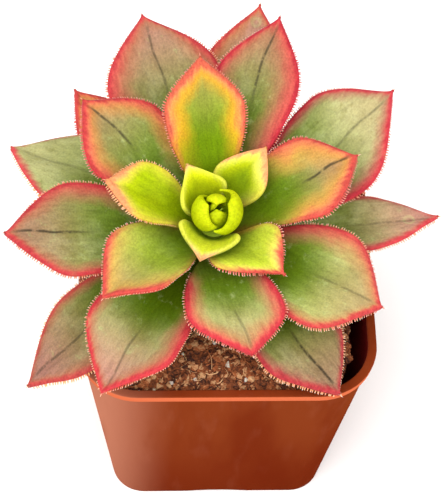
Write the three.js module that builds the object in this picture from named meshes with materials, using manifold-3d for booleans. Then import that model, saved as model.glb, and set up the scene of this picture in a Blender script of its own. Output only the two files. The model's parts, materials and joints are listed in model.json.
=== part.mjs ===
// A kiwi aeonium in a two-inch square nursery pot: the pot, its plug of soil, the short leaning stem,
// twenty-two rosette leaves and the five young leaves of the bud.
// Millimetres, +Z up. The origin is the middle of the pot's underside, and -Y is the front.
import * as THREE from "three";
import { mergeVertices } from "three/addons/utils/BufferGeometryUtils.js";
import Module from "manifold-3d";

const wasm = await Module();
wasm.setup();

// Pot: a tapering rounded square with a thin rolled lip
const POT_HEIGHT = 55;
const RIM_HALF = 28;
const RIM_CORNER = 10.8;
const BASE_HALF = 21.5;
const BASE_CORNER = 6.4;
const WALL = 1.1;
const FLOOR = 1.5;
const FOOT_ROUND = 0.8;
const LIP_HEIGHT = 2.2;
const LIP_OUT = 0.5;
const LIP_ROUND = 0.35;
const CORNER_STEPS = 6;
const ARCH_WIDTH = 14;
const ARCH_HEIGHT = 0.9;
const ARCH_DEPTH = 5;
const DRAIN_RADIUS = 2.6;
const DRAIN_OFFSET = 12;

// Soil: a bumpy plug that has dried away from the pot along its right side
const GAP = 0.3;
const SOIL_EDGE = 52.4;
const SOIL_MOUND = 1.8;
const SOIL_BUMP = 0.45;
const SOIL_SHRINK = 2.4;
const SOIL_RINGS = 8;

// Stem: the leafy top carries the leaves, and the lower end stands in a plain hole in the soil
const CROWN = [-2.7, 2.6, 57.6];
const LEAN = 10;
const STEM_RADIUS = 2.9;
const STEM_FOOT_RADIUS = 3.3;
const STEM_DEPTH = 17;
const STEM_SIDES = 14;

// Leaves follow the golden angle down the stem, each a fixed step below the one before it
const GOLDEN_ANGLE = 137.5;
const FIRST_AZIMUTH = 124;
const LEAF_STEP = 0.64;
const LEAF_SEAT = STEM_RADIUS + GAP;

// Margins: a thin edge with a fringe of short lashes that lean towards the tip
const EDGE_THICKNESS = 0.8;
const LASH_LENGTH = 0.9;
const LASH_LEAN = 0.6;
const LASH_START = 0.3;

// Where along a leaf, as shares of its length, its section flattens, its margins turn down, its flesh thins
// and its blade gives way to the drawn-out tip
const OPEN_SPAN = [0.35, 0.9];
const ROLL_SPAN = [0.35, 0.8];
const THIN_SPAN = [0.75, 1];
const BLADE_END = 0.975;

// What a leaf has where its own row says nothing else. Angles are in degrees and lengths in millimetres:
// turn moves it round the stem from its golden-angle place, rise and fall are the midrib's slope at the base
// and at the tip, late makes that change come later, cup is half the arc that the blade's section wraps,
// open is how far that arc flattens towards the tip, roll turns the margins down, twist raises the left
// margin, and bend curves the blade to the left. widest, neck and blunt shape the outline, half is half its
// greatest width, flesh is the midrib's extra thickness as a share of that, lash is its lashes' share of the
// full length, seat is the base's distance from the stem's axis, and across is its mesh's count of strips.
// A leaf with a ball wraps a sphere of that radius instead of an arc of cup degrees.
const LEAF = {
  turn: 0,
  late: 1.6,
  cup: 28,
  open: 0.6,
  roll: 0.15,
  twist: 0,
  bend: 0,
  widest: 0.66,
  neck: 0.26,
  blunt: 1.8,
  flesh: 0.22,
  lash: 1,
  seat: LEAF_SEAT,
  across: 4,
};

// The rosette's leaves from the innermost to the outermost
const INNER_LEAF = { open: 0.3, widest: 0.5, neck: 0.55, flesh: 0.12, lash: 0, across: 6 };
const ROSETTE = [
  { ...INNER_LEAF, turn: -1, length: 10.6, half: 5.3, rise: 65, fall: 35, cup: 63, widest: 0.46, blunt: 1.3 },
  { ...INNER_LEAF, turn: -8, length: 11.5, half: 6.4, rise: 64, fall: 22, cup: 61, blunt: 1.2 },
  { ...INNER_LEAF, turn: 19, length: 14.8, half: 5.2, rise: 45, fall: 26, cup: 45, bend: -14, neck: 0.25 },
  { turn: -9, length: 21, half: 6.6, rise: 46, fall: 15, cup: 45, open: 0.5, twist: 18 },
  { turn: -10, length: 17, half: 7.2, rise: 50, fall: -40, late: 2.5, bend: 24, widest: 0.5, blunt: 1.3 },
  { turn: 4, length: 29.5, half: 7.7, rise: 42, fall: 20 },
  {
    turn: -16, length: 26, half: 8.4, rise: 40.5, fall: -6,
    cup: 36, open: 0.3, roll: 0, twist: 30, bend: 13,
  },
  { turn: 15, length: 28, half: 8.6, rise: 38, fall: 4, twist: -10 },
  { turn: -5, length: 32, half: 9.0, rise: 34, fall: 10 },
  { turn: -5, length: 26, half: 9.2, rise: 34, fall: -6, bend: 14 },
  { turn: 15, length: 40, half: 8.2, rise: 32, fall: 9, bend: -5 },
  { turn: -11, length: 37.5, half: 9.5, rise: 27.6, fall: 1.4 },
  { turn: -3, length: 33, half: 10.4, rise: 26, fall: -6 },
  { turn: -4, length: 42, half: 11.2, rise: 21.5, fall: 5, neck: 0.22, blunt: 2.1 },
  {
    turn: -17, length: 35.5, half: 10.2, rise: 17.5, fall: -4,
    cup: 33, open: 0.4, roll: 0, twist: 24, bend: 10,
  },
  { turn: 3, length: 41.5, half: 10.8, rise: 19, fall: 4, bend: 18 },
  { turn: -17, length: 38.5, half: 9.0, rise: 11, fall: 3, twist: 12, bend: 18 },
  { turn: 4, length: 36.5, half: 8.8, rise: 18, fall: -6, twist: -8 },
  { turn: -1, length: 45.5, half: 9.0, rise: 14, fall: 6 },
  { turn: -5, length: 41.5, half: 8.0, rise: 10.5, fall: -4, twist: 11, bend: 18 },
  { turn: 12, length: 40.5, half: 6.4, rise: 12, fall: -2, twist: -20 },
  { turn: -2, length: 38, half: 7.4, rise: 7, fall: 4 },
];

// The bud's leaves from the outermost to the innermost, which carry the spiral on up the stem
const BUD_LIFT = 1.5;
const BUD_STEP = 0.35;
const BUD_LEAF = {
  late: 1,
  open: 0,
  roll: 0,
  widest: 0.5,
  neck: 0.5,
  blunt: 2.6,
  flesh: 0.03,
  lash: 0,
  across: 8,
};
const BUD = [
  { turn: 5, length: 9.9, half: 6.2, rise: 10, fall: 152, ball: 3.9, neck: 0.25, seat: 0.78 },
  { turn: -14, length: 8, half: 4.7, rise: 42, fall: 152, ball: 2.9, neck: 0.2, seat: 2.25 },
  { turn: 14, length: 8.2, half: 1.9, rise: 84, fall: 190, late: 3.5, ball: 1.7, neck: 0.4, seat: 1.45, blunt: 6 },
  { turn: -20, length: 5.2, half: 2.3, rise: 84, fall: 170, late: 3, ball: 1.5, seat: 1.75, blunt: 3.5 },
  { turn: -2, length: 6, half: 0.75, rise: 84, fall: 120, late: 1.6, cup: 30, seat: 0.35 },
];

const POT_COLOUR = "#9a4526";
const SOIL_COLOUR = "#5b3019";
const STEM_COLOUR = "#8d8552";
const INNER_COLOUR = "#cbd622";
const MIDDLE_COLOUR = "#9aa848";
const OUTER_COLOUR = "#a0906a";

const { degToRad, lerp, clamp, smoothstep } = THREE.MathUtils;

// Random numbers from 0 to 1 that are the same on every run.
function randomFrom(seed) {
  let state = seed;
  return () => {
    state = (state * 1664525 + 1013904223) % 4294967296;
    return state / 4294967296;
  };
}

// Adds a four-cornered face, seen anticlockwise from outside, as two triangles.
function addQuad(triangles, a, b, c, d) {
  triangles.push([a, b, c], [a, c, d]);
}

// A geometry from triangles, each three points seen anticlockwise from outside.
function geometryOf(triangles) {
  const loose = new THREE.BufferGeometry().setFromPoints(triangles.flat());
  const geometry = mergeVertices(loose, 1e-4);
  geometry.computeVertexNormals();
  return geometry;
}

// A closed geometry as a solid that can be cut.
function solidOf(geometry, matrix = new THREE.Matrix4()) {
  const bare = geometry.clone().applyMatrix4(matrix);
  bare.deleteAttribute("normal");
  bare.deleteAttribute("uv");
  const merged = mergeVertices(bare, 1e-4);
  return new wasm.Manifold(
    new wasm.Mesh({
      numProp: 3,
      vertProperties: merged.attributes.position.array,
      triVerts: Uint32Array.from(merged.index.array),
    }),
  );
}

// The geometry of a solid that has been cut.
function geometryFrom(solid) {
  const mesh = solid.getMesh();
  const geometry = new THREE.BufferGeometry();
  geometry.setAttribute("position", new THREE.BufferAttribute(mesh.vertProperties, 3));
  geometry.setIndex(new THREE.BufferAttribute(mesh.triVerts, 1));
  geometry.computeVertexNormals();
  return geometry;
}

// A named mesh with its own material.
function meshOf(name, geometry, colour, roughness) {
  const material = new THREE.MeshStandardMaterial({ color: colour, roughness, metalness: 0 });
  const mesh = new THREE.Mesh(geometry, material);
  mesh.name = name;
  return mesh;
}

// A level ring of points round a square with round corners, anticlockwise from above.
function roundedSquare(half, corner, z) {
  const points = [];
  for (let quarter = 0; quarter < 4; quarter += 1) {
    const turn = (quarter * Math.PI) / 2;
    for (let step = 0; step <= CORNER_STEPS; step += 1) {
      const angle = (step / CORNER_STEPS) * (Math.PI / 2);
      const x = half - corner + corner * Math.cos(angle);
      const y = half - corner + corner * Math.sin(angle);
      points.push(new THREE.Vector3(x, y, z).applyAxisAngle(new THREE.Vector3(0, 0, 1), turn));
    }
  }
  return points;
}

// The middle of a ring of points.
function middleOf(ring) {
  const middle = new THREE.Vector3();
  ring.forEach((point) => middle.add(point));
  return middle.divideScalar(ring.length);
}

// A closed skin over rings with equal numbers of points, from the first ring's cap to the last one's.
function loft(rings) {
  const triangles = [];
  const count = rings[0].length;
  const last = rings[rings.length - 1];
  const start = middleOf(rings[0]);
  const end = middleOf(last);
  for (let i = 0; i < count; i += 1) {
    const next = (i + 1) % count;
    triangles.push([start, rings[0][next], rings[0][i]]);
    for (let k = 0; k + 1 < rings.length; k += 1) {
      addQuad(triangles, rings[k][i], rings[k][next], rings[k + 1][next], rings[k + 1][i]);
    }
    triangles.push([end, last[i], last[next]]);
  }
  return geometryOf(triangles);
}

// Half the pot's outer side and its corner radius, below the lip, at a height.
function potWall(z) {
  const up = z / POT_HEIGHT;
  return {
    half: lerp(BASE_HALF, RIM_HALF - LIP_OUT, up),
    corner: lerp(BASE_CORNER, RIM_CORNER - LIP_OUT, up),
  };
}

// A ring round the pot at a height, a distance in from its outer wall.
function potRing(z, inset) {
  const { half, corner } = potWall(z);
  return roundedSquare(half - inset, corner - inset, z);
}

// The pot: one moulded shell, with drain holes in its floor and a shallow arch under each side.
function potGeometry() {
  const lipFoot = POT_HEIGHT - LIP_HEIGHT;
  const shell = loft([
    potRing(0, FOOT_ROUND),
    potRing(FOOT_ROUND, 0),
    potRing(lipFoot, 0),
    potRing(lipFoot + LIP_ROUND, -LIP_OUT),
    potRing(POT_HEIGHT - LIP_ROUND, -LIP_OUT),
    potRing(POT_HEIGHT, LIP_ROUND - LIP_OUT),
    potRing(POT_HEIGHT, WALL - LIP_ROUND),
    potRing(POT_HEIGHT - LIP_ROUND, WALL),
    potRing(FLOOR, WALL),
  ]);
  let pot = solidOf(shell);
  const drain = new THREE.CylinderGeometry(DRAIN_RADIUS, DRAIN_RADIUS, 4 * FLOOR, 16).rotateX(Math.PI / 2);
  const arch = archGeometry();
  for (let side = 0; side < 4; side += 1) {
    const turn = new THREE.Matrix4().makeRotationZ((side * Math.PI) / 2);
    const corner = turn.clone().multiply(new THREE.Matrix4().makeTranslation(DRAIN_OFFSET, DRAIN_OFFSET, 0));
    pot = pot.subtract(solidOf(drain, corner)).subtract(solidOf(arch, turn));
  }
  return geometryFrom(pot);
}

// What is cut from under one side: a circle's segment, from inside the base's edge out past it.
function archGeometry() {
  const radius = ((ARCH_WIDTH / 2) ** 2 + ARCH_HEIGHT ** 2) / (2 * ARCH_HEIGHT);
  const cylinder = new THREE.CylinderGeometry(radius, radius, 2 * ARCH_DEPTH, 160);
  return cylinder.translate(0, -BASE_HALF, ARCH_HEIGHT - radius);
}

// How far the soil has shrunk from the wall beside a point: most along the right side towards the front.
function shrinkAt(point) {
  const right = smoothstep(point.x, 6, 20);
  const front = 1 - smoothstep(point.y, 2, 22);
  return SOIL_SHRINK * right * front;
}

// The soil: a plug that fills the pot, with a bumpy top that is highest round the stem.
function soilGeometry(stemHole) {
  const random = randomFrom(11);
  const bottom = potRing(FLOOR + GAP, WALL + GAP);
  const edge = potRing(SOIL_EDGE, WALL + GAP);
  edge.forEach((point) => {
    point.x -= shrinkAt(point);
  });
  const rings = [bottom, edge];
  for (let k = 1; k <= SOIL_RINGS; k += 1) {
    const out = 1 - k / (SOIL_RINGS + 1);
    const mound = SOIL_MOUND * (1 - out * out);
    rings.push(
      edge.map((point) => {
        const bump = SOIL_BUMP * (2 * random() - 1);
        return new THREE.Vector3(point.x * out, point.y * out, SOIL_EDGE + mound + bump);
      }),
    );
  }
  return geometryFrom(solidOf(loft(rings)).subtract(stemHole));
}

// The stem in the rosette's frame, turned about z: a foot in the soil and a leafy top, wider by a clearance.
function stemGeometry(clearance) {
  const top = LEAF_STEP * (ROSETTE.length - 1);
  const profile = [
    new THREE.Vector2(0, -STEM_DEPTH - clearance),
    new THREE.Vector2(STEM_FOOT_RADIUS + clearance, -STEM_DEPTH - clearance),
    new THREE.Vector2(STEM_FOOT_RADIUS + clearance, -STEM_DEPTH / 2),
    new THREE.Vector2(STEM_RADIUS + clearance, -1),
    new THREE.Vector2(STEM_RADIUS + clearance, top),
    new THREE.Vector2(0, top),
  ];
  return new THREE.LatheGeometry(profile, STEM_SIDES).rotateX(Math.PI / 2);
}

// The midrib's slope at a share of its length, in radians.
function slopeAt(leaf, s) {
  return degToRad(lerp(leaf.rise, leaf.fall, s ** leaf.late));
}

// The midrib's point at a share of its length: out along x and up along y.
function midribAt(leaf, s) {
  const steps = 40;
  const point = new THREE.Vector2();
  for (let k = 0; k < steps; k += 1) {
    const slope = slopeAt(leaf, ((k + 0.5) / steps) * s);
    point.x += Math.cos(slope);
    point.y += Math.sin(slope);
  }
  return point.multiplyScalar((leaf.length * s) / steps);
}

// Half the blade's width at a share of its length: narrow at the base, widest past the middle, then pointed.
function halfWidthAt(leaf, s) {
  const before = clamp(s / leaf.widest, 0, 1);
  const past = clamp((s - leaf.widest) / (1 - leaf.widest), 0, 1);
  const swell = lerp(leaf.neck, 1, Math.sin((Math.PI / 2) * before) ** 1.6);
  const taper = (1 - past ** leaf.blunt) * (1 - 0.25 * past * past);
  return leaf.half * swell * taper;
}

// The blade's thickness: fleshy along the midrib and thin at the margins and the tip.
function thicknessAt(leaf, s, u) {
  const along = 0.35 + 0.65 * Math.sin(Math.PI * s ** 0.8);
  const tip = 1 - 0.8 * smoothstep(s, ...THIN_SPAN);
  const across = 1 - Math.abs(u) ** 2.2;
  return EDGE_THICKNESS + leaf.half * leaf.flesh * along * tip * across;
}

// A point of the blade: s runs from the base to the tip and u from the right margin, -1, to the left one, 1.
// x runs out from the stem's axis, y to the left and z up.
function bladeAt(leaf, s, u, under) {
  const middle = midribAt(leaf, s);
  const slope = slopeAt(leaf, s);
  const width = halfWidthAt(leaf, s);
  const cup = degToRad(leaf.cup) * (1 - leaf.open * smoothstep(s, ...OPEN_SPAN));
  const radius = leaf.ball ?? width / cup;
  const arc = leaf.ball ? width / leaf.ball : cup;
  const rolled = leaf.roll * leaf.half * smoothstep(s, ...ROLL_SPAN);
  const depth = under ? thicknessAt(leaf, s, u) : 0;
  const section = new THREE.Vector2(
    (radius + depth) * Math.sin(arc * u),
    radius - (radius + depth) * Math.cos(arc * u) - rolled * Math.abs(u) ** 3,
  );
  section.rotateAround(new THREE.Vector2(), degToRad(leaf.twist) * s);
  const sideways = (degToRad(leaf.bend) * leaf.length * s * s) / 2;
  return new THREE.Vector3(
    leaf.seat + middle.x - Math.sin(slope) * section.y,
    section.x + sideways,
    middle.y + Math.cos(slope) * section.y,
  );
}

// Adds one stretch of the margin's wall, drawn out to a lash that points outwards and towards the tip.
function addLash(triangles, corners, outwards, tipwards, length) {
  const lash = middleOf(corners)
    .addScaledVector(outwards, length)
    .addScaledVector(tipwards, LASH_LEAN * length);
  corners.forEach((corner, i) => triangles.push([corner, corners[(i + 1) % 4], lash]));
}

// One leaf: two faces on the same grid, a wall round them with a fringe of lashes, and a drawn-out tip.
function leafGeometry(leaf, seed) {
  const random = randomFrom(seed);
  const { across } = leaf;
  const stations = Math.round(8 + leaf.length / 5);
  const upper = [];
  const lower = [];
  for (let i = 0; i < stations; i += 1) {
    const s = (BLADE_END * i) / (stations - 1);
    const columns = Array.from({ length: across + 1 }, (_, j) => (2 * j) / across - 1);
    upper.push(columns.map((u) => bladeAt(leaf, s, u, false)));
    lower.push(columns.map((u) => bladeAt(leaf, s, u, true)));
  }
  const tip = bladeAt(leaf, 1, 0, false).lerp(bladeAt(leaf, 1, 0, true), 0.5);
  const triangles = [];
  for (let i = 0; i + 1 < stations; i += 1) {
    for (let j = 0; j < across; j += 1) {
      addQuad(triangles, upper[i][j], upper[i + 1][j], upper[i + 1][j + 1], upper[i][j + 1]);
      triangles.push([lower[i][j], lower[i + 1][j + 1], lower[i + 1][j]]);
      triangles.push([lower[i][j], lower[i][j + 1], lower[i + 1][j + 1]]);
    }
    for (const [edge, inner] of [[0, 1], [across, across - 1]]) {
      const corners = [lower[i][edge], upper[i][edge], upper[i + 1][edge], lower[i + 1][edge]];
      if (edge === 0) corners.reverse();
      const outwards = upper[i + 1][edge].clone().sub(upper[i + 1][inner]).normalize();
      const tipwards = upper[i + 1][edge].clone().sub(upper[i][edge]).normalize();
      const length = LASH_LENGTH * leaf.lash * lerp(0.8, 1.2, random());
      if (leaf.lash === 0 || i / stations < LASH_START) addQuad(triangles, ...corners);
      else addLash(triangles, corners, outwards, tipwards, length);
    }
  }
  const end = stations - 1;
  for (let j = 0; j < across; j += 1) {
    addQuad(triangles, lower[0][j], upper[0][j], upper[0][j + 1], lower[0][j + 1]);
    triangles.push([upper[end][j], tip, upper[end][j + 1]]);
    triangles.push([lower[end][j], lower[end][j + 1], tip]);
  }
  triangles.push([lower[end][across], upper[end][across], tip]);
  triangles.push([upper[end][0], lower[end][0], tip]);
  return geometryOf(triangles);
}

// A leaf's mesh at its place on the spiral. Rank 0 is the first rosette leaf, and the bud's are below it.
function leafMesh(name, leaf, rank, colour) {
  const mesh = meshOf(name, leafGeometry(leaf, 100 + rank), colour, 0.55);
  const last = ROSETTE.length - 1;
  const bud = BUD_LIFT + BUD_STEP * (-1 - rank);
  mesh.position.z = rank < 0 ? LEAF_STEP * last + bud : LEAF_STEP * (last - rank);
  mesh.rotation.z = degToRad(FIRST_AZIMUTH + GOLDEN_ANGLE * rank + leaf.turn);
  return mesh;
}

// The colour of a rosette leaf: lime at the middle, green further out and dull olive at the rim.
function leafColour(rank) {
  const out = rank / (ROSETTE.length - 1);
  const inner = new THREE.Color(INNER_COLOUR).lerp(new THREE.Color(MIDDLE_COLOUR), clamp(out * 3, 0, 1));
  return inner.lerp(new THREE.Color(OUTER_COLOUR), clamp(out * 1.5 - 0.5, 0, 1));
}

// The rosette leans towards the front, with its frame's z along the stem.
const rosette = new THREE.Group();
rosette.position.set(...CROWN);
rosette.rotation.x = degToRad(LEAN);
rosette.updateMatrixWorld(true);
rosette.add(meshOf("stem", stemGeometry(0), STEM_COLOUR, 0.8));
ROSETTE.forEach((row, rank) => {
  const name = `rosette_leaf_${String(rank + 1).padStart(2, "0")}`;
  rosette.add(leafMesh(name, { ...LEAF, ...row }, rank, leafColour(rank)));
});
BUD.forEach((row, k) => {
  rosette.add(leafMesh(`bud_leaf_${k + 1}`, { ...LEAF, ...BUD_LEAF, ...row }, -1 - k, INNER_COLOUR));
});

const stemHole = solidOf(stemGeometry(GAP), rosette.matrixWorld);
const plant = new THREE.Group();
plant.add(meshOf("pot", potGeometry(), POT_COLOUR, 0.55));
plant.add(meshOf("soil", soilGeometry(stemHole), SOIL_COLOUR, 0.95));
plant.add(rosette);

export default plant;
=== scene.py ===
"""The looks of a kiwi aeonium in a square nursery pot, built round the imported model.

Blender works in metres, and the sizes here are in millimetres times MM, except that the stem and the leaves
are shaped in plain millimetres and then put in their places. +Z is up and -Y is the front.
"""

import json
import math
import random
from functools import partial

import bpy
import numpy as np
from mathutils import Matrix, Vector, noise
from mathutils.bvhtree import BVHTree

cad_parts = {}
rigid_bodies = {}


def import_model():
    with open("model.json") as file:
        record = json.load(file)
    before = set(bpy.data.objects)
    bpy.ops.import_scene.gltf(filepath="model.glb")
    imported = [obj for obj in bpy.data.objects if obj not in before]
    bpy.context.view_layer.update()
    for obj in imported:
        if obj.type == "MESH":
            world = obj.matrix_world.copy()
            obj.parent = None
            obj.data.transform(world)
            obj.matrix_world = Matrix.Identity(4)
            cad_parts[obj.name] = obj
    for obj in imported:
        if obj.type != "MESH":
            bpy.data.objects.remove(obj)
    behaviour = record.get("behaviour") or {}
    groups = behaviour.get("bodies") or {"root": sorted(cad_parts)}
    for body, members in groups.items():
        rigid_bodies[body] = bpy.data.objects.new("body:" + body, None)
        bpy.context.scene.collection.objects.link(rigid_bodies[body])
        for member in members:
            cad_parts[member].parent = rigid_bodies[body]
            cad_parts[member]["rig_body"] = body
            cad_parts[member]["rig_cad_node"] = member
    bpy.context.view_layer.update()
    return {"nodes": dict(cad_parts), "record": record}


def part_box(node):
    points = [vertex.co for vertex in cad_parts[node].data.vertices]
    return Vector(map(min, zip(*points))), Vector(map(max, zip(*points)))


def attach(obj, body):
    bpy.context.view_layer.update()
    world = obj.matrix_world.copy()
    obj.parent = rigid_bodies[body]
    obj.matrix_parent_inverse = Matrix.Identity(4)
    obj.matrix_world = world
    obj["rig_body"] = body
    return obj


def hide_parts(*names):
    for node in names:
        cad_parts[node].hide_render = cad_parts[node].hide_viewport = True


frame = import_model()

bl_info = {
    "name": "Potted Aeonium",
    "version": (1, 0, 0),
    "blender": (4, 5, 0),
    "location": "View3D > Sidebar > Aeonium",
    "description": "Models a potted kiwi aeonium: pot, soil, stem, rosette and bud",
    "category": "Add Mesh",
}

MM = 0.001

# The photograph's frame in pixels, the place of the rim's middle in it, the focal length that fits the pot's
# outline, and the sensor's width in millimetres
IMAGE_WIDTH = 443
IMAGE_HEIGHT = 494
TARGET_PIXEL = (225.3, 266.8)
FOCAL_PIXELS = 2070
SENSOR = 36

# Pot: the section's numbers that the frame's boxes don't give
RIM_CORNER = 10.8 * MM
BASE_CORNER = 6.4 * MM
BASE_HALF = 21.5 * MM
ARCH_WIDTH = 14 * MM
ARCH_HEIGHT = 0.9 * MM
EDGE_ROUND = 0.35 * MM
DRAIN_RADIUS = 2.6 * MM
DRAIN_OFFSET = 12 * MM

# Stem: its crown leans to the front, and the leaves stand on it by the golden angle. The numbers below the
# crown's place are in millimetres and degrees, and STEM_FOOT is measured from the crown.
CROWN = Matrix.Translation(Vector((-2.7, 2.6, 57.6)) * MM) @ Matrix.Rotation(math.radians(10), 4, "X")
STEM_RADIUS = 2.9
STEM_FOOT = -17
GOLDEN_ANGLE = 137.5
FIRST_AZIMUTH = 124
LEAF_STEP = 0.64
LEAF_SEAT = 3.2
EDGE_THICKNESS = 0.8

# Where along a leaf, as shares of its length, its section flattens, its margins turn down, its flesh thins
# and its fringe starts
OPEN_SPAN = (0.35, 0.9)
ROLL_SPAN = (0.35, 0.8)
THIN_SPAN = (0.75, 1)
LASH_START = 0.3

# How deep a lash's foot stands in the rounded margin, in millimetres, where along the leaf the last lash
# stands, and how many times as long as a full lash the hair at the tip is
LASH_SINK = 0.35
LASH_END = 0.985
TIP_HAIR = 1.8

# The rows and columns of a blade's grid, and how far apart two leaves' skin patterns are, in millimetres
BLADE_ROWS = 40
BLADE_COLUMNS = 18
PATTERN_STEP = 60.0

# What a leaf has where its own row says nothing else, in millimetres and degrees: turn moves it round the
# stem from its golden-angle place, rise and fall are the midrib's slope at the base and at the tip, late
# makes that change come later, cup is half the arc that its section wraps, open is how far the arc flattens
# towards the tip, roll turns the margins down, twist raises the left margin and bend curves the blade to the
# left. widest, neck and blunt shape the outline, flesh is the midrib's extra thickness, lash is the share
# that its lashes have of the full length, seat is how far from the stem's middle it starts, and relief is how
# strongly its skin swells.
LEAF = dict(
    turn=0, late=1.6, cup=28, open=0.6, roll=0.15, twist=0, bend=0,
    widest=0.66, neck=0.26, blunt=1.8, flesh=0.22, lash=1, seat=LEAF_SEAT, relief=1,
)

# The rosette's leaves from the innermost to the outermost
INNER_LEAF = dict(LEAF, open=0.3, widest=0.5, neck=0.55, flesh=0.12, lash=0, relief=0.3)
ROSETTE = [
    dict(INNER_LEAF, turn=-1, length=10.6, half=5.3, rise=65, fall=35, cup=63, widest=0.46, blunt=1.3),
    dict(INNER_LEAF, turn=-8, length=11.5, half=6.4, rise=64, fall=22, cup=61, blunt=1.2),
    dict(INNER_LEAF, turn=19, length=14.8, half=5.2, rise=45, fall=26, cup=45, bend=-14, neck=0.25),
    dict(LEAF, turn=-9, length=21, half=6.6, rise=46, fall=15, cup=45, open=0.5, twist=18),
    dict(LEAF, turn=-10, length=17, half=7.2, rise=50, fall=-40, late=2.5, bend=24, widest=0.5, blunt=1.3),
    dict(LEAF, turn=4, length=29.5, half=7.7, rise=42, fall=20),
    dict(
        LEAF, turn=-16, length=26, half=8.4, rise=40.5, fall=-6,
        cup=36, open=0.3, roll=0, twist=30, bend=13,
    ),
    dict(LEAF, turn=15, length=28, half=8.6, rise=38, fall=4, twist=-10),
    dict(LEAF, turn=-5, length=32, half=9.0, rise=34, fall=10),
    dict(LEAF, turn=-5, length=26, half=9.2, rise=34, fall=-6, bend=14),
    dict(LEAF, turn=15, length=40, half=8.2, rise=32, fall=9, bend=-5),
    dict(LEAF, turn=-11, length=37.5, half=9.5, rise=27.6, fall=1.4),
    dict(LEAF, turn=-3, length=33, half=10.4, rise=26, fall=-6),
    dict(LEAF, turn=-4, length=42, half=11.2, rise=21.5, fall=5, neck=0.22, blunt=2.1),
    dict(
        LEAF, turn=-17, length=35.5, half=10.2, rise=17.5, fall=-4,
        cup=33, open=0.4, roll=0, twist=24, bend=10,
    ),
    dict(LEAF, turn=3, length=41.5, half=10.8, rise=19, fall=4, bend=18),
    dict(LEAF, turn=-17, length=38.5, half=9.0, rise=11, fall=3, twist=12, bend=18),
    dict(LEAF, turn=4, length=36.5, half=8.8, rise=18, fall=-6, twist=-8),
    dict(LEAF, turn=-1, length=45.5, half=9.0, rise=14, fall=6),
    dict(LEAF, turn=-5, length=41.5, half=8.0, rise=10.5, fall=-4, twist=11, bend=18),
    dict(LEAF, turn=12, length=40.5, half=6.4, rise=12, fall=-2, twist=-20),
    dict(LEAF, turn=-2, length=38, half=7.4, rise=7, fall=4),
]

# The bud's leaves from the outermost to the innermost. A leaf with a ball wraps a sphere of that radius.
BUD_LIFT = 1.5
BUD_STEP = 0.35
BUD_LEAF = dict(LEAF, late=1, open=0, roll=0, widest=0.5, neck=0.5, blunt=2.6, flesh=0.03, lash=0, relief=0)
BUD = [
    dict(BUD_LEAF, turn=5, length=9.9, half=6.2, rise=10, fall=152, ball=3.9, neck=0.25, seat=0.78),
    dict(BUD_LEAF, turn=-14, length=8, half=4.7, rise=42, fall=152, ball=2.9, neck=0.2, seat=2.25),
    dict(
        BUD_LEAF, turn=14, length=8.2, half=1.9, rise=84, fall=190,
        late=3.5, ball=1.7, neck=0.4, seat=1.45, blunt=6,
    ),
    dict(BUD_LEAF, turn=-20, length=5.2, half=2.3, rise=84, fall=170, late=3, ball=1.5, seat=1.75, blunt=3.5),
    dict(BUD_LEAF, turn=-2, length=6, half=0.75, rise=84, fall=120, late=1.6, cup=30, seat=0.35),
]

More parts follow.
